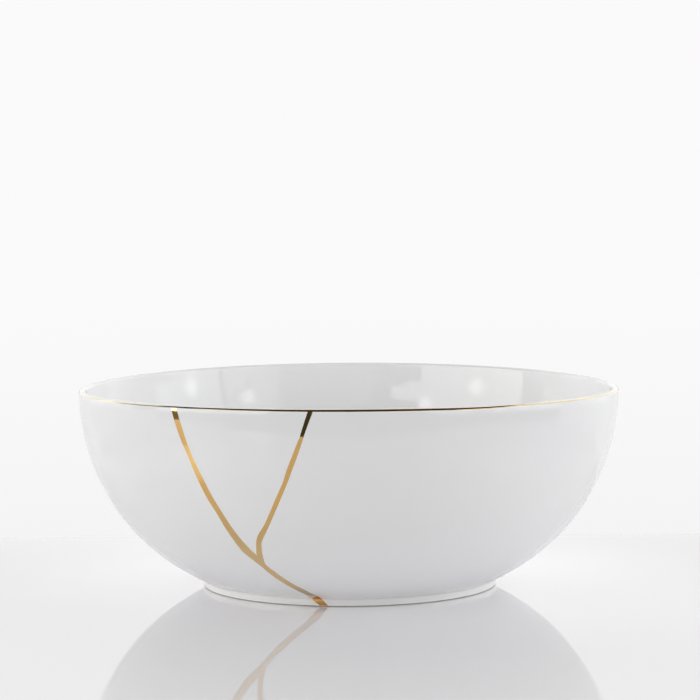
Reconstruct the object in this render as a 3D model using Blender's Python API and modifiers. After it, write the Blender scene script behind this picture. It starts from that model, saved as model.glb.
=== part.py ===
"""Salad bowl: one round piece of glazed porcelain on a low foot ring.

The whole bowl is a turned shape. Its profile runs from the middle of the floor
up the inside, over the rounded lip, down the outside and under the foot ring.
"""
import math

import bpy

# Driving dimensions, in metres
RIM_RADIUS = 0.130
HEIGHT = 0.0970
LIP_THICKNESS = 0.0036

# The outside of the wall is part of an ellipse that begins just below the lip
OUTER_REACH = 0.0969
OUTER_DROP = 0.0994

# The inside is a quarter of an ellipse, around a flat round floor
FLOOR_RADIUS = 0.048
FLOOR_HEIGHT = 0.0072

# Foot ring, the hollow corner where the wall meets it, and the recess it encloses
FOOT_RADIUS = 0.0706
FOOT_WIDTH = 0.0050
FOOT_EDGE = 0.0006
FOOT_FILLET = 0.0012
RECESS_DEPTH = 0.0026
RECESS_FILLET = 0.0010

# Fineness of the turned surface
TURN_STEPS = 96
WALL_STEPS = 14
LIP_STEPS = 6
FILLET_STEPS = 3
EDGE_STEPS = 2
HALVINGS = 40
MERGE_DISTANCE = 0.00005

PORCELAIN_COLOUR = (0.80, 0.80, 0.79, 1.0)
PORCELAIN_ROUGHNESS = 0.10

LIP_RADIUS = LIP_THICKNESS / 2
LIP_CENTRE_HEIGHT = HEIGHT - LIP_RADIUS
OUTER_CENTRE = (RIM_RADIUS - OUTER_REACH, LIP_CENTRE_HEIGHT)
FOOT_INNER_RADIUS = FOOT_RADIUS - FOOT_WIDTH


def arc(centre, reach, rise, start, end, steps):
    """Points (radius, height) on an elliptic arc, its angles in degrees from outwards to up."""
    points = []
    for step in range(steps + 1):
        angle = math.radians(start + (end - start) * step / steps)
        points.append((centre[0] + reach * math.cos(angle), centre[1] + rise * math.sin(angle)))
    return points


def inside_wall():
    """From the middle of the floor, out and up the inside of the wall to the lip."""
    reach = RIM_RADIUS - LIP_THICKNESS - FLOOR_RADIUS
    rise = LIP_CENTRE_HEIGHT - FLOOR_HEIGHT
    floor = [(0.0, FLOOR_HEIGHT), (FLOOR_RADIUS / 2, FLOOR_HEIGHT)]
    return floor + arc((FLOOR_RADIUS, LIP_CENTRE_HEIGHT), reach, rise, -90, 0, WALL_STEPS)


def lip():
    """Half circle over the lip, without its ends, which belong to the walls."""
    centre = (RIM_RADIUS - LIP_RADIUS, LIP_CENTRE_HEIGHT)
    return arc(centre, LIP_RADIUS, LIP_RADIUS, 180, 0, LIP_STEPS)[1:-1]


def fillet_centre(angle):
    """Centre of the fillet that touches the outer wall at this angle of its ellipse."""
    point = arc(OUTER_CENTRE, OUTER_REACH, OUTER_DROP, angle, angle, 1)[0]
    across = math.cos(math.radians(angle)) / OUTER_REACH
    up = math.sin(math.radians(angle)) / OUTER_DROP
    length = math.hypot(across, up)
    return point[0] + FOOT_FILLET * across / length, point[1] + FOOT_FILLET * up / length


def outside_wall():
    """From the lip down the outside, ending in the fillet above the foot ring."""
    near, far = -45.0, -90.0
    for _ in range(HALVINGS):
        middle = (near + far) / 2
        if fillet_centre(middle)[0] > FOOT_RADIUS + FOOT_FILLET:
            near = middle
        else:
            far = middle
    wall = arc(OUTER_CENTRE, OUTER_REACH, OUTER_DROP, 0, near, WALL_STEPS)
    centre = fillet_centre(near)
    start = math.degrees(math.atan2(wall[-1][1] - centre[1], wall[-1][0] - centre[0]))
    return wall + arc(centre, FOOT_FILLET, FOOT_FILLET, start, 180, FILLET_STEPS)[1:]


def foot_ring():
    """Over the rounded edges and flat tread of the foot ring, and into the recess."""
    outer_edge = (FOOT_RADIUS - FOOT_EDGE, FOOT_EDGE)
    inner_edge = (FOOT_INNER_RADIUS + FOOT_EDGE, FOOT_EDGE)
    corner = (FOOT_INNER_RADIUS - RECESS_FILLET, RECESS_DEPTH - RECESS_FILLET)
    points = arc(outer_edge, FOOT_EDGE, FOOT_EDGE, 0, -90, EDGE_STEPS)
    points += arc(inner_edge, FOOT_EDGE, FOOT_EDGE, -90, -180, EDGE_STEPS)
    points += arc(corner, RECESS_FILLET, RECESS_FILLET, 0, 90, EDGE_STEPS)
    return points + [(FOOT_INNER_RADIUS / 2, RECESS_DEPTH), (0.0, RECESS_DEPTH)]


def porcelain():
    """White glazed porcelain."""
    material = bpy.data.materials.new("porcelain")
    material.use_nodes = True
    shader = material.node_tree.nodes["Principled BSDF"]
    shader.inputs["Base Color"].default_value = PORCELAIN_COLOUR
    shader.inputs["Roughness"].default_value = PORCELAIN_ROUGHNESS
    shader.inputs["Metallic"].default_value = 0.0
    return material


def make_bowl(collection):
    """The bowl: its profile as a line of edges, turned around the upright axis."""
    profile = inside_wall() + lip() + outside_wall() + foot_ring()
    vertices = [(radius, 0.0, height) for radius, height in profile]
    edges = [(index, index + 1) for index in range(len(vertices) - 1)]
    mesh = bpy.data.meshes.new("bowl")
    mesh.from_pydata(vertices, edges, [])
    mesh.materials.append(porcelain())

    bowl = bpy.data.objects.new("bowl", mesh)
    collection.objects.link(bowl)
    turn = bowl.modifiers.new("turn", "SCREW")
    turn.axis = "Z"
    turn.angle = math.tau
    turn.steps = TURN_STEPS
    turn.render_steps = TURN_STEPS
    turn.use_merge_vertices = True
    turn.merge_threshold = MERGE_DISTANCE
    turn.use_smooth_shade = True


def main():
    for existing in list(bpy.data.objects):
        bpy.data.objects.remove(existing, do_unlink=True)
    collection = bpy.data.collections.new("salad_bowl")
    bpy.context.scene.collection.children.link(collection)
    make_bowl(collection)


main()
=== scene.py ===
"""Salad bowl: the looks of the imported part, standing on a glossy white sheet in a plain studio.

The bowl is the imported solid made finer. Its rim is slightly warped, and its inside leans
out a little more under the lip. The gold rim line and the gold seams are thin films on its
glaze. The bowl's axis is the upright axis through the origin, and the camera stands in
front, towards -Y. Sizes are in metres, and azimuths are measured from -Y, positive to the
right as the camera sees it.
"""
import math

import bpy
from mathutils import Matrix, Vector


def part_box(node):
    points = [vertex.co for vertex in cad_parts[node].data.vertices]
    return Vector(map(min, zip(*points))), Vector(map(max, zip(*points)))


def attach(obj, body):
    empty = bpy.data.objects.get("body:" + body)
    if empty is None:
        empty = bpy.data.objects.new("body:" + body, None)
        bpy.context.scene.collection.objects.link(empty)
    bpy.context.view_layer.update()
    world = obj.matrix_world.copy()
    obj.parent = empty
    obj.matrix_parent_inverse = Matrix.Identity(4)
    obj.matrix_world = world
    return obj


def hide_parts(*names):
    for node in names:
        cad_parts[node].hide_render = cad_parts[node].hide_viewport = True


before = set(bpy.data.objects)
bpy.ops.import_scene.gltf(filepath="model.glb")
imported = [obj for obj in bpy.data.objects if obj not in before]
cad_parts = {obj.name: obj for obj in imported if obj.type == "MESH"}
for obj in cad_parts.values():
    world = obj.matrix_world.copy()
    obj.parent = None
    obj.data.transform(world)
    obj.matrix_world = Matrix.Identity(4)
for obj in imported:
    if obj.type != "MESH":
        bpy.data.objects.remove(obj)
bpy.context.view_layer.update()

# The bowl's half section, as the solid has it, but the centre of the inside's arc is higher
BOWL_LOW, BOWL_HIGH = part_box("bowl")
RIM_RADIUS = (BOWL_HIGH.x - BOWL_LOW.x) / 2
HEIGHT = BOWL_HIGH.z - BOWL_LOW.z
LIP_THICKNESS = 0.0036
OUTER_REACH = 0.0969
OUTER_DROP = 0.0994
FLOOR_RADIUS = 0.048
FLOOR_HEIGHT = 0.0072
INNER_CENTRE_LIFT = 0.0052
FOOT_RADIUS = 0.0706
FOOT_WIDTH = 0.0050
FOOT_EDGE = 0.0006
FOOT_FILLET = 0.0012
RECESS_DEPTH = 0.0026
RECESS_FILLET = 0.0010
LIP_RADIUS = LIP_THICKNESS / 2
LIP_CENTRE_HEIGHT = HEIGHT - LIP_RADIUS
OUTER_CENTRE_RADIUS = RIM_RADIUS - OUTER_REACH
FOOT_INNER_RADIUS = FOOT_RADIUS - FOOT_WIDTH

# The fired rim has sagged a little at the left and right, and less at the front. It has one
# more shallow dip at the front right.
RIM_SAG = 0.00058
RIM_TILT = 0.00028
RIM_WARP = 0.00062
RIM_DIP = 0.00028
DIP_AZIMUTH = math.radians(26)
DIP_WIDTH = math.radians(9)

# Fineness of the turned surface
TURN_STEPS = 288
WALL_STEPS = 60
LIP_STEPS = 24
FILLET_STEPS = 10
EDGE_STEPS = 8
FLOOR_STEPS = 6
MERGE_DISTANCE = 0.00001
HALVINGS = 40
PROBE = 0.00001

# Gold rim line, on the outer side of the rounded lip, in degrees above the lip's widest line.
# It is wider upwards at the right, and both ways at the front.
LINE_LOW = 29.0
LINE_HIGH = 55.0
LINE_RIGHT_WIDENING = 16.0
LINE_FRONT_WIDENING = 6.3
LINE_FRONT_AZIMUTH = math.radians(5)
LINE_FRONT_SHARPNESS = 10
LINE_COLUMNS = 6
LINE_STEPS = 720

# Gold films: how far they stand on the glaze, how thick they are, and their sharpest bend
# that is still shaded smooth
LINE_LIFT = 0.000030
SEAM_LIFT = 0.000022
FILM_THICKNESS = 0.000070
FILM_CREASE = math.radians(50)

# Gold seams in the front view: distance from the middle, height and width, in millimetres
MILLIMETRE = 0.001
MAIN_SEAM = (
    (-77.95, 96.05, 3.0), (-76.4, 90.4, 3.05), (-74.8, 85.3, 2.95), (-73.1, 80.4, 2.65),
    (-71.1, 75.4, 2.25), (-69.1, 70.5, 2.5), (-65.8, 63.1, 3.1), (-62.35, 55.8, 3.2),
    (-58.3, 48.8, 3.05), (-54.25, 41.5, 3.55), (-49.75, 34.5, 4.3), (-46.25, 30.0, 4.9),
    (-42.2, 26.0, 4.4), (-38.6, 22.2, 3.2), (-34.3, 18.1, 3.75), (-28.65, 13.4, 3.8),
    (-23.0, 9.5, 4.0), (-19.45, 7.1, 3.9), (-17.3, 5.5, 4.5), (-15.5, 4.0, 4.9), (-14.2, 2.7, 3.4),
    (-12.9, 1.4, 2.8), (-11.6, 0.25, 2.3),
)
BRANCH_SEAM = (
    (-16.8, 96.05, 2.1), (-18.35, 91.8, 1.95), (-20.05, 86.8, 1.7), (-20.85, 84.2, 1.65),
    (-22.65, 79.3, 2.05), (-26.45, 69.1, 2.25), (-28.2, 63.9, 1.98), (-31.5, 56.1, 2.15),
    (-34.78, 48.2, 2.05), (-37.07, 42.9, 2.2), (-39.6, 37.9, 2.75), (-40.6, 34.5, 2.5),
    (-40.65, 29.5, 2.8),
)
MAIN_COLUMNS = 8
BRANCH_COLUMNS = 9
CURVE_STEPS = 60
ROW_STEP = 0.0006
FOOT_ROW_STEP = 0.00015
FOOT_ROWS_BELOW = 0.0060
LEVEL_END = 0.0030
NOTCH_HEIGHT = 0.0280
JOINING_ROWS = 8

# Camera, with its angles in degrees and its lens in millimetres
CAMERA_PLACE = (0.0, -1.29647, 0.20698)
CAMERA_PITCH = -4.1346
CAMERA_YAW = -0.0318
CAMERA_ROLL = -0.3441
CAMERA_LENS = 138.48
CAMERA_SENSOR = 36.0
CAMERA_FAR = 50.0

# The glossy sheet, and the bench under it, which the camera does not see
SHEET_HALF_WIDTH = 0.277
SHEET_FRONT = -0.378
SHEET_BACK = 0.161
SHEET_THICKNESS = 0.005
BENCH_LEFT = -0.64
BENCH_RIGHT = 0.541
BENCH_GAP = 0.001

# White glaze. Two colours are the ends of its slight clouding.
OUTSIDE_WHITE = ((0.872, 0.872, 0.872, 1.0), (0.884, 0.884, 0.885, 1.0))
# The inside is painted a little lighter: painted light inside the bowl
LIT_INSIDE_WHITE = ((0.884, 0.881, 0.880, 1.0), (0.896, 0.893, 0.893, 1.0))
# The low wall is painted lighter and a little blue: painted light from the sheet below
LIT_LOW_WHITE = (0.925, 0.933, 0.948, 1.0)
FOOT_WHITE = (0.875, 0.872, 0.862, 1.0)
# The fillet above the foot is painted lighter: painted light lifting the shade in it
LIT_FILLET_WHITE = (0.960, 0.958, 0.955, 1.0)
# The foot's bottom edge: bare clay, and painted shade where it stands on the sheet
BARE_AND_SHADED_CLAY = (0.42, 0.40, 0.37, 1.0)

# The place across the axis times the normal: the inside lies below the first of these, and
# the outside above the second
INSIDE_FACING = (-0.040, 0.0)

# Heights from which to which the looks of the foot, with the painted shade at its bare edge, and the
# painted light on the low wall fade out, and the band of painted light in the fillet
BARE_AND_SHADED_FADE = (0.0003, 0.0006)
FOOT_FADE = (0.0038, 0.0046)
DULL_FADE = (0.0042, 0.0090)
LIT_LOW_FADE = (0.0080, 0.0420)
LIT_FILLET_BAND = (0.0040, 0.0058, 0.0014)

# Roughness of the glaze, what the dull and the bare parts add to it, the refraction of the
# glaze and the sheet, and the strength of the fine waves in the glaze and the gold
GLAZE_ROUGHNESS = (0.035, 0.06)
DULL_ROUGHNESS = 0.25
BARE_ROUGHNESS = 0.4
GLASS_IOR = 1.5
BUMP_STRENGTH = 0.06

# Gold: rich high on the wall; paler and duller lower down, a painted shade in its reflection; pale on
# the sides of the rim, a painted highlight; dim just above the foot, a painted shadow; and deeper on
# it, a painted reflection
RICH_GOLD = ((0.86, 0.53, 0.185, 1.0), (0.93, 0.60, 0.225, 1.0))
SHADED_LOW_GOLD = ((0.72, 0.53, 0.265, 1.0), (0.78, 0.57, 0.295, 1.0))
HIGHLIGHT_GOLD = (0.71, 0.62, 0.45, 1.0)
SHADOWED_GOLD = (0.56, 0.43, 0.275, 1.0)
DEEP_REFLECTED_GOLD = (0.84, 0.50, 0.19, 1.0)
RICH_RISE = (0.022, 0.060)
RIM_RISE = (0.0942, 0.0949)
HIGHLIGHT_ASIDE = (0.045, 0.085)
SHADOWED_BAND = (0.0045, 0.0098, 0.0030)
DEEP_REFLECTED_FADE = (0.0036, 0.0052)
GOLD_ROUGHNESS = (0.03, 0.07)

# The sheet and the bench, each between two colours
SHEET_WHITE = ((0.884, 0.872, 0.884, 1.0), (0.895, 0.883, 0.895, 1.0))
BENCH_PALE = ((0.70, 0.69, 0.71, 1.0), (0.74, 0.73, 0.75, 1.0))

# The backdrop that the camera sees, a little darker below the horizon
BACKDROP_COLOUR = (1.0, 0.988, 0.994, 1.0)
BACKDROP_LOW = 0.903
BACKDROP_HIGH = 0.966
BACKDROP_TURN = (-10.5, -2.5)

# Colour of the studio light, which is slightly cooler where it comes from the right
WARM_LIGHT = (1.044, 1.042, 1.036, 1.0)
COOL_LIGHT = (1.033, 1.042, 1.057, 1.0)
COOL_START = (-30.0, 60.0)
COOL_END = (90.0, 120.0)

# Soft studio light: first and last azimuth, lowest and highest elevation, all in degrees,
# and brightness where white is 1
DARK = 0.05
LIGHT_SOFTNESS = 1.6
SOFT_LIGHTS = (
    # The window at the left, and the narrow panes beside it towards the camera
    (-87.0, -34.0, -4.7, 24.0, 2.12),
    (-34.0, -27.0, 8.0, 18.0, 2.0),
    (-27.0, -20.0, 11.0, 18.0, 2.0),
    # Faint light low in that window and under it
    (-87.0, -70.0, -4.7, 4.0, 0.3),
    (-87.0, -55.0, -90.0, -4.7, 0.12),
    # The dim room around the camera
    (-12.0, 33.0, -3.0, 22.0, 0.53),
    # The left window's bright upper part
    (-87.0, -55.0, 24.0, 36.0, 3.0),
    (-55.0, -33.0, 24.0, 36.0, 3.15),
    (-87.0, -40.0, 36.0, 50.0, 0.8),
    # The window at the right, with a post in it, and its bright upper part
    (33.0, 60.0, -5.7, 24.0, 1.45),
    (62.0, 99.0, -5.7, 24.0, 1.9),
    (33.0, 60.0, 24.0, 36.0, 2.7),
    (62.0, 99.0, 24.0, 36.0, 3.7),
    (60.0, 99.0, 36.0, 50.0, 0.95),
    # The dark frame behind the left window, with the floor under it and the light above it
    (-101.0, -87.0, -90.0, -5.7, 0.74),
    (-101.0, -87.0, -5.7, 17.0, 0.15),
    (-101.0, -87.0, 17.0, 30.0, 1.6),
    (-110.0, -90.0, 30.0, 45.0, 0.4),
    # The side wall at the left, from the floor up
    (-140.0, -101.0, -90.0, -5.7, 0.7),
    (-140.0, -101.0, -5.7, 8.0, 1.15),
    (-140.0, -101.0, 8.0, 26.0, 1.55),
    (-125.0, -110.0, 26.0, 45.0, 0.3),
    (-140.0, -125.0, 26.0, 45.0, 0.9),
    # The floor towards the back, at the left and the right
    (-164.0, -140.0, -90.0, -5.7, 0.74),
    (140.0, 164.0, -90.0, -5.7, 0.78),
    # The side wall at the right, from the floor up
    (99.0, 140.0, -90.0, -5.7, 0.78),
    (99.0, 112.0, -5.7, 12.0, 0.85),
    (112.0, 140.0, -5.7, 12.0, 1.2),
    (99.0, 140.0, 12.0, 26.0, 1.25),
    (99.0, 140.0, 26.0, 52.0, 1.0),
)

# Light from behind the bowl: the azimuth on both sides from which it fills the back, its
# elevations, and its brightness
BACK_LIGHTS = (
    (164.0, -90.0, -5.7, 0.82),
    (140.0, -5.7, 3.0, 0.79),
    (140.0, 3.0, 26.0, 1.11),
    (140.0, 26.0, 45.0, 1.28),
    (140.0, 45.0, 72.0, 0.5),
)

# Brighter spots in the side windows: azimuth, elevation, radius and added brightness
HOT_SPOTS = (
    (77.5, 5.5, 6.5, 3.2),
    (48.5, 14.0, 6.0, 3.4),
    (-61.5, 8.3, 6.5, 3.0),
    (-37.2, 19.5, 6.0, 3.0),
)


def arc(centre, reach, rise, start, end, steps):
    """Points (radius, height) on an elliptic arc, its angles in degrees from outwards to up."""
    points = []
    for step in range(steps + 1):
        angle = math.radians(start + (end - start) * step / steps)
        points.append((centre[0] + reach * math.cos(angle), centre[1] + rise * math.sin(angle)))
    return points


def fillet_centre(angle):
    """Centre of the fillet that touches the outer wall at this angle of its ellipse."""
    point = arc((OUTER_CENTRE_RADIUS, LIP_CENTRE_HEIGHT), OUTER_REACH, OUTER_DROP, angle, angle, 1)[0]
    across = math.cos(math.radians(angle)) / OUTER_REACH
    up = math.sin(math.radians(angle)) / OUTER_DROP
    length = math.hypot(across, up)
    return point[0] + FOOT_FILLET * across / length, point[1] + FOOT_FILLET * up / length


def wall_end():
    """Angle of the outer wall's ellipse where the fillet above the foot ring begins."""
    near, far = -45.0, -90.0
    for _ in range(HALVINGS):
        middle = (near + far) / 2
        if fillet_centre(middle)[0] > FOOT_RADIUS + FOOT_FILLET:
            near = middle
        else:
            far = middle
    return near


WALL_END = wall_end()
WALL_END_HEIGHT = LIP_CENTRE_HEIGHT + OUTER_DROP * math.sin(math.radians(WALL_END))
FILLET_CENTRE = fillet_centre(WALL_END)


def profile():
    """The bowl's half section: up the inside, over the lip, down the outside, under the foot.

    The inside's arc ends with a slight lean, where it meets the lip."""
    rise = LIP_CENTRE_HEIGHT + INNER_CENTRE_LIFT - FLOOR_HEIGHT
    lean = math.degrees(math.asin(INNER_CENTRE_LIFT / rise))
    reach = (RIM_RADIUS - LIP_THICKNESS - FLOOR_RADIUS) / math.cos(math.radians(lean))
    points = [(FLOOR_RADIUS * step / FLOOR_STEPS, FLOOR_HEIGHT) for step in range(FLOOR_STEPS)]
    points += arc((FLOOR_RADIUS, FLOOR_HEIGHT + rise), reach, rise, -90, -lean, WALL_STEPS)
    lip_centre = (RIM_RADIUS - LIP_RADIUS, LIP_CENTRE_HEIGHT)
    points += arc(lip_centre, LIP_RADIUS, LIP_RADIUS, 180, 0, LIP_STEPS)[1:-1]
    outer_centre = (OUTER_CENTRE_RADIUS, LIP_CENTRE_HEIGHT)
    points += arc(outer_centre, OUTER_REACH, OUTER_DROP, 0, WALL_END, WALL_STEPS)
    end = points[-1]
    start = math.degrees(math.atan2(end[1] - FILLET_CENTRE[1], end[0] - FILLET_CENTRE[0]))
    points += arc(FILLET_CENTRE, FOOT_FILLET, FOOT_FILLET, start, 180, FILLET_STEPS)[1:]
    points += arc((FOOT_RADIUS - FOOT_EDGE, FOOT_EDGE), FOOT_EDGE, FOOT_EDGE, 0, -90, EDGE_STEPS)
    inner_edge = (FOOT_INNER_RADIUS + FOOT_EDGE, FOOT_EDGE)
    points += arc(inner_edge, FOOT_EDGE, FOOT_EDGE, -90, -180, EDGE_STEPS)
    corner = (FOOT_INNER_RADIUS - RECESS_FILLET, RECESS_DEPTH - RECESS_FILLET)
    points += arc(corner, RECESS_FILLET, RECESS_FILLET, 0, 90, EDGE_STEPS)
    inner = corner[0]
    points += [(inner * (1 - step / FLOOR_STEPS), RECESS_DEPTH) for step in range(1, FLOOR_STEPS + 1)]
    return points


def warp(azimuth, height):
    """How far the fired clay has sagged or risen here."""
    at_rim = RIM_WARP * math.cos(2 * azimuth) - RIM_TILT * math.cos(azimuth) - RIM_SAG
    from_dip = math.remainder(azimuth - DIP_AZIMUTH, math.tau)
    at_rim -= RIM_DIP * math.exp(-((from_dip / DIP_WIDTH) ** 2))
    return at_rim * (height / HEIGHT) ** 2


def outside_radius(height):
    """Radius of the glazed outside at this height."""
    if height >= LIP_CENTRE_HEIGHT:
        rise = min(height - LIP_CENTRE_HEIGHT, LIP_RADIUS)
        return RIM_RADIUS - LIP_RADIUS + math.sqrt(LIP_RADIUS ** 2 - rise ** 2)
    if height >= WALL_END_HEIGHT:
        share = (LIP_CENTRE_HEIGHT - height) / OUTER_DROP
        return OUTER_CENTRE_RADIUS + OUTER_REACH * math.sqrt(1 - share ** 2)
    if height >= FILLET_CENTRE[1]:
        rise = height - FILLET_CENTRE[1]
        return FILLET_CENTRE[0] - math.sqrt(FOOT_FILLET ** 2 - rise ** 2)
    if height >= FOOT_EDGE:
        return FOOT_RADIUS
    drop = min(FOOT_EDGE - height, FOOT_EDGE)
    return FOOT_RADIUS - FOOT_EDGE + math.sqrt(FOOT_EDGE ** 2 - drop ** 2)


def slope(height):
    """How much the outside widens for each unit of height."""
    return (outside_radius(height + PROBE) - outside_radius(height - PROBE)) / (2 * PROBE)


def glaze_point(place, lift):
    """The point at a place (azimuth from the front, height), lifted off the outside glaze."""
    azimuth, height = place
    outward = Vector((1.0, -slope(height))).normalized()
    radius = outside_radius(height) + lift * outward.x
    rise = height + lift * outward.y + warp(azimuth, height)
    return Vector((radius * math.sin(azimuth), -radius * math.cos(azimuth), rise))


def evaluated_mesh(guide):
    """A plain mesh of an object with its modifiers applied. The object is removed."""
    bpy.context.view_layer.update()
    graph = bpy.context.evaluated_depsgraph_get()
    mesh = bpy.data.meshes.new_from_object(guide.evaluated_get(graph))
    bpy.data.objects.remove(guide)
    return mesh


def new_object(name, mesh):
    """A new object in the scene that shows this mesh."""
    made = bpy.data.objects.new(name, mesh)
    bpy.context.scene.collection.objects.link(made)
    return made


def make_bowl():
    """The porcelain bowl: its half section turned around the axis, then slightly warped."""
    section = bpy.data.meshes.new("bowl_section")
    points = profile()
    edges = [(index, index + 1) for index in range(len(points) - 1)]
    section.from_pydata([(radius, 0.0, height) for radius, height in points], edges, [])
    guide = new_object("bowl_section", section)
    turn = guide.modifiers.new("turn", "SCREW")
    turn.axis = "Z"
    turn.angle = math.tau
    turn.steps = TURN_STEPS
    turn.render_steps = TURN_STEPS
    turn.use_merge_vertices = True
    turn.merge_threshold = MERGE_DISTANCE
    turn.use_smooth_shade = True
    mesh = evaluated_mesh(guide)
    for vertex in mesh.vertices:
        azimuth = math.atan2(vertex.co.x, -vertex.co.y)
        vertex.co.z += warp(azimuth, vertex.co.z)
    mesh.shade_smooth()
    return new_object("bowl_porcelain", mesh)


def film(name, vertices, faces):
    """A thin closed film of gold, from the upper surface that these faces make."""
    surface = bpy.data.meshes.new(name)
    surface.from_pydata(vertices, [], faces)
    guide = new_object(name + "_guide", surface)
    solid = guide.modifiers.new("thickness", "SOLIDIFY")
    solid.thickness = FILM_THICKNESS
    solid.offset = -1.0
    mesh = evaluated_mesh(guide)
    mesh.shade_smooth()
    mesh.set_sharp_from_angle(angle=FILM_CREASE)
    return new_object(name, mesh)


def make_rim_line():
    """The gold line around the outer side of the lip."""
    vertices = []
    for step in range(LINE_STEPS):
        azimuth = math.tau * step / LINE_STEPS
        front = max(0.0, math.cos(azimuth - LINE_FRONT_AZIMUTH)) ** LINE_FRONT_SHARPNESS
        right = max(0.0, math.sin(azimuth)) ** 2
        low = LINE_LOW - LINE_FRONT_WIDENING * front
        high = LINE_HIGH + LINE_FRONT_WIDENING * front + LINE_RIGHT_WIDENING * right
        for column in range(LINE_COLUMNS + 1):
            angle = math.radians(low + (high - low) * column / LINE_COLUMNS)
            height = LIP_CENTRE_HEIGHT + LIP_RADIUS * math.sin(angle)
            vertices.append(glaze_point((azimuth, height), LINE_LIFT))
    faces = []
    across = LINE_COLUMNS + 1
    for step in range(LINE_STEPS):
        here = step * across
        there = (step + 1) % LINE_STEPS * across
        for column in range(LINE_COLUMNS):
            faces.append((here + column, there + column, there + column + 1, here + column + 1))
    return film("gold_rim_line", vertices, faces)


def smooth_line(stations):
    """Close points on a smooth curve through the stations, with their widths, in metres."""
    known = [Vector(station) * MILLIMETRE for station in stations]
    known = [2 * known[0] - known[1]] + known + [2 * known[-1] - known[-2]]
    points = []
    for before, start, end, after in zip(known, known[1:], known[2:], known[3:]):
        for step in range(CURVE_STEPS):
            share = step / CURVE_STEPS
            bend = (2 * before - 5 * start + 4 * end - after) * share ** 2
            twist = (3 * start - before - 3 * end + after) * share ** 3
            points.append(start + ((end - before) * share + bend + twist) / 2)
    return points + [known[-2]]


def seam_rows(stations, columns, level_end):
    """Rows of places across a painted seam. They are level at its upper end, under the rim
    line, and if wanted at its lower end too."""
    middle = []
    for x, height, width in smooth_line(stations):
        middle.append((math.asin(x / outside_radius(height)), height, width))
    spots = [glaze_point(place[:2], 0.0) for place in middle]
    lengths = [0.0]
    for spot, following in zip(spots, spots[1:]):
        lengths.append(lengths[-1] + (following - spot).length)
    rows = []
    last = -ROW_STEP
    for index, (azimuth, height, width) in enumerate(middle):
        gap = FOOT_ROW_STEP if height < FOOT_ROWS_BELOW else ROW_STEP
        if lengths[index] - last < gap and index < len(middle) - 1:
            continue
        last = lengths[index]
        before = middle[max(index - 1, 0)]
        after = middle[min(index + 1, len(middle) - 1)]
        radius = outside_radius(height)
        climb = math.hypot(1.0, slope(height))
        along = Vector(((after[0] - before[0]) * radius, (after[1] - before[1]) * climb)).normalized()
        across = Vector((-along.y, along.x))
        to_end = lengths[index]
        if level_end:
            to_end = min(to_end, lengths[-1] - lengths[index])
        level = max(0.0, 1.0 - to_end / LEVEL_END)
        across = across.lerp(Vector((1.0 / across.x, 0.0)), level)
        row = []
        for column in range(columns + 1):
            aside = (column / columns - 0.5) * width
            row.append((azimuth + aside * across.x / radius, height + aside * across.y / climb))
        rows.append(row)
    return rows


def make_seams():
    """The two gold seams, which meet low on the wall and run on as one to the foot."""
    main = seam_rows(MAIN_SEAM, MAIN_COLUMNS, True)
    branch = seam_rows(BRANCH_SEAM, BRANCH_COLUMNS, False)
    edge = [row[-1] for row in main]
    notch = min(range(len(edge)), key=lambda index: abs(edge[index][1] - NOTCH_HEIGHT))
    last = branch[-1]
    for step in range(1, JOINING_ROWS):
        share = step / JOINING_ROWS
        row = []
        for column in range(BRANCH_COLUMNS + 1):
            start, end = Vector(last[column]), Vector(edge[notch + column])
            row.append(tuple(start.lerp(end, share)))
        branch.append(row)

    vertices = [glaze_point(place, SEAM_LIFT) for row in main + branch for place in row]
    main_width, branch_width = MAIN_COLUMNS + 1, BRANCH_COLUMNS + 1
    branch_start = len(main) * main_width
    main_ids = [
        [row * main_width + column for column in range(main_width)] for row in range(len(main))
    ]
    branch_ids = [
        [branch_start + row * branch_width + column for column in range(branch_width)]
        for row in range(len(branch))
    ]
    branch_ids.append([main_ids[notch + column][-1] for column in range(branch_width)])
    faces = []
    for ids in (main_ids, branch_ids):
        for upper, lower in zip(ids, ids[1:]):
            for column in range(len(upper) - 1):
                faces.append((upper[column], lower[column], lower[column + 1], upper[column + 1]))
    return film("gold_seams", vertices, faces)


def make_slab(name, low, high):
    """A flat slab between two opposite corners."""
    bpy.ops.mesh.primitive_cube_add(size=1.0)
    slab = bpy.context.object
    slab.name = name
    size = [high[axis] - low[axis] for axis in range(3)]
    middle = [(high[axis] + low[axis]) / 2 for axis in range(3)]
    slab.data.transform(Matrix.Translation(middle) @ Matrix.Diagonal((*size, 1.0)))
    return slab


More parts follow.
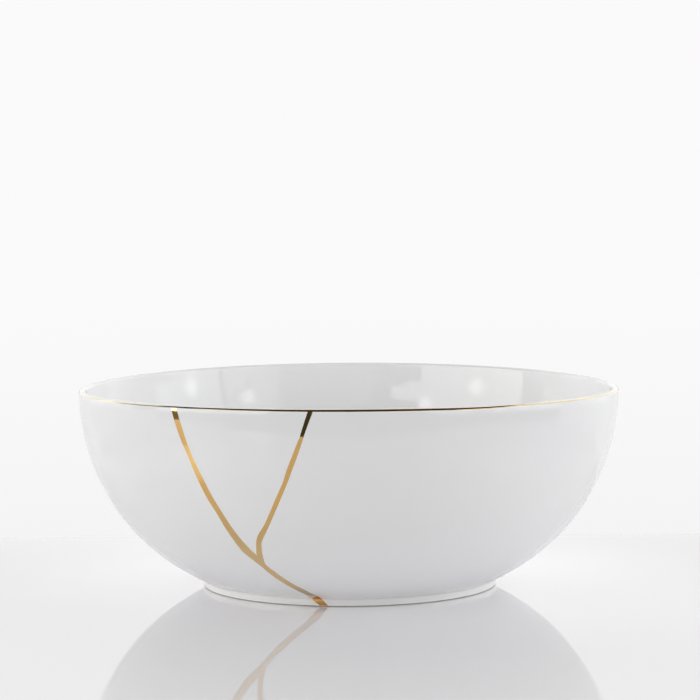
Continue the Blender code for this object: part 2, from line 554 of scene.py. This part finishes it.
class Graph:
    """Adds nodes to a node tree, each with its inputs, and gives back what comes out."""

    def __init__(self, tree):
        self.tree = tree

    def node(self, kind, **settings):
        made = self.tree.nodes.new(kind)
        for name, value in settings.items():
            setattr(made, name, value)
        return made

    def plug(self, target, value):
        if isinstance(value, bpy.types.NodeSocket):
            self.tree.links.new(value, target)
        else:
            target.default_value = value

    def math(self, operation, *values):
        made = self.node("ShaderNodeMath", operation=operation)
        for target, value in zip(made.inputs, values):
            self.plug(target, value)
        return made.outputs[0]

    def remap(self, value, low, high, to_low=0.0, to_high=1.0):
        """A smooth step from to_low to to_high as the value goes from low to high."""
        made = self.node("ShaderNodeMapRange", interpolation_type="SMOOTHSTEP")
        for name, given in (
            ("Value", value), ("From Min", low), ("From Max", high),
            ("To Min", to_low), ("To Max", to_high),
        ):
            self.plug(made.inputs[name], given)
        return made.outputs[0]

    def band(self, value, low, high, soft):
        """1 between low and high, and 0 outside, with soft ends."""
        rise = self.remap(value, low - soft / 2, low + soft / 2)
        fall = self.remap(value, high - soft / 2, high + soft / 2, 1.0, 0.0)
        return self.math("MULTIPLY", rise, fall)

    def mix_colour(self, share, first, second):
        made = self.node("ShaderNodeMix", data_type="RGBA")
        self.plug(made.inputs["Factor"], share)
        self.plug(made.inputs["A"], first)
        self.plug(made.inputs["B"], second)
        return made.outputs["Result"]

    def noise(self, place, scale, detail):
        made = self.node("ShaderNodeTexNoise")
        self.plug(made.inputs["Vector"], place)
        made.inputs["Scale"].default_value = scale
        made.inputs["Detail"].default_value = detail
        return made.outputs["Fac"]

    def bump(self, shader, height, distance):
        """Gives the shader slight waves of this height."""
        made = self.node("ShaderNodeBump")
        made.inputs["Strength"].default_value = BUMP_STRENGTH
        made.inputs["Distance"].default_value = distance
        self.plug(made.inputs["Height"], height)
        self.plug(shader.inputs["Normal"], made.outputs["Normal"])


def new_material(name):
    """A material with a Principled shader. Gives the material, its graph and its shader."""
    material = bpy.data.materials.new(name)
    material.use_nodes = True
    return material, Graph(material.node_tree), material.node_tree.nodes["Principled BSDF"]


def porcelain():
    """White porcelain under a clear wavy glaze, duller near the foot and bare where it stands. Its
    colour holds painted light: lighter inside, lighter on the low wall and in the fillet above the
    foot, and a painted shade at the bare edge where it stands.
    """
    material, graph, shader = new_material("porcelain")
    place = graph.node("ShaderNodeTexCoord").outputs["Object"]
    split = graph.node("ShaderNodeSeparateXYZ")
    graph.plug(split.inputs[0], place)
    rise = split.outputs["Z"]
    bare_and_shaded = graph.remap(rise, *BARE_AND_SHADED_FADE, 1.0, 0.0)
    foot = graph.remap(rise, *FOOT_FADE, 1.0, 0.0)
    dull = graph.remap(rise, *DULL_FADE, 1.0, 0.0)
    low = graph.remap(rise, *LIT_LOW_FADE, 1.0, 0.0)
    cloud = graph.noise(place, 16.0, 3.0)
    outer = graph.mix_colour(cloud, *OUTSIDE_WHITE)
    inner = graph.mix_colour(cloud, *LIT_INSIDE_WHITE)
    # Painted light: the low wall lighter, fading out upwards
    white = graph.mix_colour(low, outer, LIT_LOW_WHITE)
    white = graph.mix_colour(foot, white, FOOT_WHITE)
    # Painted light in the fillet above the foot
    white = graph.mix_colour(graph.band(rise, *LIT_FILLET_BAND), white, LIT_FILLET_WHITE)
    # Painted light: the inside a little lighter
    white = graph.mix_colour(inside_share(graph, place), white, inner)
    # The bare edge: bare clay darkened by painted shade where it stands
    graph.plug(shader.inputs["Base Color"], graph.mix_colour(bare_and_shaded, white, BARE_AND_SHADED_CLAY))
    glossy = graph.remap(graph.noise(place, 90.0, 2.0), 0.2, 0.8, *GLAZE_ROUGHNESS)
    dulled = graph.math("MULTIPLY_ADD", dull, DULL_ROUGHNESS, glossy)
    rough = graph.math("MULTIPLY_ADD", bare_and_shaded, BARE_ROUGHNESS, dulled)
    graph.plug(shader.inputs["Roughness"], rough)
    shader.inputs["IOR"].default_value = GLASS_IOR
    graph.bump(shader, graph.noise(place, 22.0, 1.0), 0.0006)
    return material


def inside_share(graph, place):
    """1 on the inside of the wall, where the surface faces the axis, and 0 elsewhere."""
    flat = graph.node("ShaderNodeVectorMath", operation="MULTIPLY")
    graph.plug(flat.inputs[0], place)
    flat.inputs[1].default_value = (1.0, 1.0, 0.0)
    facing = graph.node("ShaderNodeVectorMath", operation="DOT_PRODUCT")
    graph.plug(facing.inputs[0], flat.outputs["Vector"])
    graph.plug(facing.inputs[1], graph.node("ShaderNodeTexCoord").outputs["Normal"])
    return graph.remap(facing.outputs["Value"], *INSIDE_FACING, 1.0, 0.0)


def gold():
    """Bright painted gold, with painted light in its colour: paler and duller low on the wall as
    painted shade, pale on the sides of the rim as a painted highlight, dim just above the foot as a
    painted shadow, and deeper in the drop on the foot as a painted reflection.
    """
    material, graph, shader = new_material("gilding")
    place = graph.node("ShaderNodeTexCoord").outputs["Object"]
    split = graph.node("ShaderNodeSeparateXYZ")
    graph.plug(split.inputs[0], place)
    rise = split.outputs["Z"]
    side = graph.math("ABSOLUTE", split.outputs["X"])
    # The sides of the rim line, painted pale: a painted highlight
    highlight = graph.math("MULTIPLY", graph.remap(rise, *RIM_RISE), graph.remap(side, *HIGHLIGHT_ASIDE))
    cloud = graph.noise(place, 60.0, 3.0)
    rich = graph.mix_colour(cloud, *RICH_GOLD)
    shaded_low = graph.mix_colour(cloud, *SHADED_LOW_GOLD)
    # Paler and duller low on the wall: painted shade in the gold's reflection
    colour = graph.mix_colour(graph.remap(rise, *RICH_RISE), shaded_low, rich)
    colour = graph.mix_colour(highlight, colour, HIGHLIGHT_GOLD)
    # Dim just above the foot: a painted shadow
    colour = graph.mix_colour(graph.band(rise, *SHADOWED_BAND), colour, SHADOWED_GOLD)
    # Deeper in the drop on the foot: a painted reflection
    colour = graph.mix_colour(graph.remap(rise, *DEEP_REFLECTED_FADE, 1.0, 0.0), colour, DEEP_REFLECTED_GOLD)
    graph.plug(shader.inputs["Base Color"], colour)
    shader.inputs["Metallic"].default_value = 1.0
    grain = graph.noise(place, 700.0, 2.0)
    graph.plug(shader.inputs["Roughness"], graph.remap(grain, 0.25, 0.75, *GOLD_ROUGHNESS))
    graph.bump(shader, grain, 0.0001)
    return material


def sheet_material():
    """Polished white sheet."""
    material, graph, shader = new_material("sheet")
    place = graph.node("ShaderNodeTexCoord").outputs["Object"]
    white = graph.mix_colour(graph.noise(place, 4.0, 2.0), *SHEET_WHITE)
    graph.plug(shader.inputs["Base Color"], white)
    shader.inputs["Roughness"].default_value = 0.03
    shader.inputs["IOR"].default_value = GLASS_IOR
    return material


def bench_material():
    """Plain pale bench."""
    material, graph, shader = new_material("bench")
    place = graph.node("ShaderNodeTexCoord").outputs["Object"]
    pale = graph.mix_colour(graph.noise(place, 6.0, 2.0), *BENCH_PALE)
    graph.plug(shader.inputs["Base Color"], pale)
    shader.inputs["Roughness"].default_value = 0.5
    return material


def make_studio_light():
    """Light from the white room around: soft panels left and right, and dark by the camera."""
    world = bpy.data.worlds.new("studio")
    bpy.context.scene.world = world
    world.use_nodes = True
    graph = Graph(world.node_tree)
    split = graph.node("ShaderNodeSeparateXYZ")
    graph.plug(split.inputs[0], graph.node("ShaderNodeTexCoord").outputs["Generated"])
    behind = graph.math("MULTIPLY", split.outputs["Y"], -1.0)
    turn = graph.math("DEGREES", graph.math("ARCTAN2", split.outputs["X"], behind))
    rise = graph.math("DEGREES", graph.math("ARCSINE", split.outputs["Z"]))
    side = graph.math("ABSOLUTE", turn)
    light = DARK
    for start, end, low, high, strength in SOFT_LIGHTS:
        turned = graph.band(turn, start, end, LIGHT_SOFTNESS)
        lifted = graph.band(rise, low, high, LIGHT_SOFTNESS)
        light = graph.math("MULTIPLY_ADD", graph.math("MULTIPLY", turned, lifted), strength, light)
    for start, low, high, strength in BACK_LIGHTS:
        turned = graph.remap(side, start - LIGHT_SOFTNESS / 2, start + LIGHT_SOFTNESS / 2)
        lifted = graph.band(rise, low, high, LIGHT_SOFTNESS)
        light = graph.math("MULTIPLY_ADD", graph.math("MULTIPLY", turned, lifted), strength, light)
    for azimuth, elevation, radius, strength in HOT_SPOTS:
        aside = graph.math("SUBTRACT", turn, azimuth)
        lifted = graph.math("SUBTRACT", rise, elevation)
        square = graph.math("MULTIPLY_ADD", aside, aside, graph.math("MULTIPLY", lifted, lifted))
        distance = graph.math("SQRT", square)
        light = graph.math("ADD", light, graph.remap(distance, 0.0, radius, strength, 0.0))
    lit = graph.node("ShaderNodeBackground")
    graph.plug(lit.inputs["Strength"], light)
    cool = graph.remap(turn, *COOL_START)
    cool = graph.math("MULTIPLY", cool, graph.remap(turn, *COOL_END, 1.0, 0.0))
    graph.plug(lit.inputs["Color"], graph.mix_colour(cool, WARM_LIGHT, COOL_LIGHT))
    seen = graph.node("ShaderNodeBackground")
    seen.inputs["Color"].default_value = BACKDROP_COLOUR
    shade = graph.remap(rise, *BACKDROP_TURN, BACKDROP_LOW, BACKDROP_HIGH)
    graph.plug(seen.inputs["Strength"], shade)
    choose = graph.node("ShaderNodeMixShader")
    graph.plug(choose.inputs[0], graph.node("ShaderNodeLightPath").outputs["Is Camera Ray"])
    graph.plug(choose.inputs[1], lit.outputs[0])
    graph.plug(choose.inputs[2], seen.outputs[0])
    output = world.node_tree.nodes["World Output"]
    graph.plug(output.inputs["Surface"], choose.outputs[0])


def make_camera():
    """The camera, at the photograph's place and viewing angle."""
    data = bpy.data.cameras.new("camera")
    camera = bpy.data.objects.new("camera", data)
    bpy.context.scene.collection.objects.link(camera)
    data.lens = CAMERA_LENS
    data.sensor_width = CAMERA_SENSOR
    data.clip_end = CAMERA_FAR
    yaw = Matrix.Rotation(math.radians(CAMERA_YAW), 4, "Z")
    pitch = Matrix.Rotation(math.radians(90 + CAMERA_PITCH), 4, "X")
    roll = Matrix.Rotation(math.radians(CAMERA_ROLL), 4, "Z")
    camera.matrix_world = Matrix.Translation(CAMERA_PLACE) @ yaw @ pitch @ roll
    bpy.context.scene.camera = camera


def dress(piece, material):
    """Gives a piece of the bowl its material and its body."""
    piece.data.materials.clear()
    piece.data.materials.append(material)
    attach(piece, "root")


def main():
    bpy.context.scene.view_settings.view_transform = "Standard"
    make_camera()
    make_studio_light()

    bowl = make_bowl()
    dress(bowl, porcelain())
    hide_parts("bowl")
    gilding = gold()
    for piece in (make_rim_line(), make_seams()):
        dress(piece, gilding)

    sheet = make_slab(
        "sheet",
        (-SHEET_HALF_WIDTH, SHEET_FRONT, -SHEET_THICKNESS),
        (SHEET_HALF_WIDTH, SHEET_BACK, 0.0),
    )
    sheet.data.materials.append(sheet_material())
    bench_top = -SHEET_THICKNESS - BENCH_GAP
    bench = make_slab(
        "bench",
        (BENCH_LEFT, SHEET_FRONT, bench_top - SHEET_THICKNESS),
        (BENCH_RIGHT, SHEET_BACK, bench_top),
    )
    bench.data.materials.append(bench_material())
    bench.visible_camera = False

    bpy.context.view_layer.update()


main()
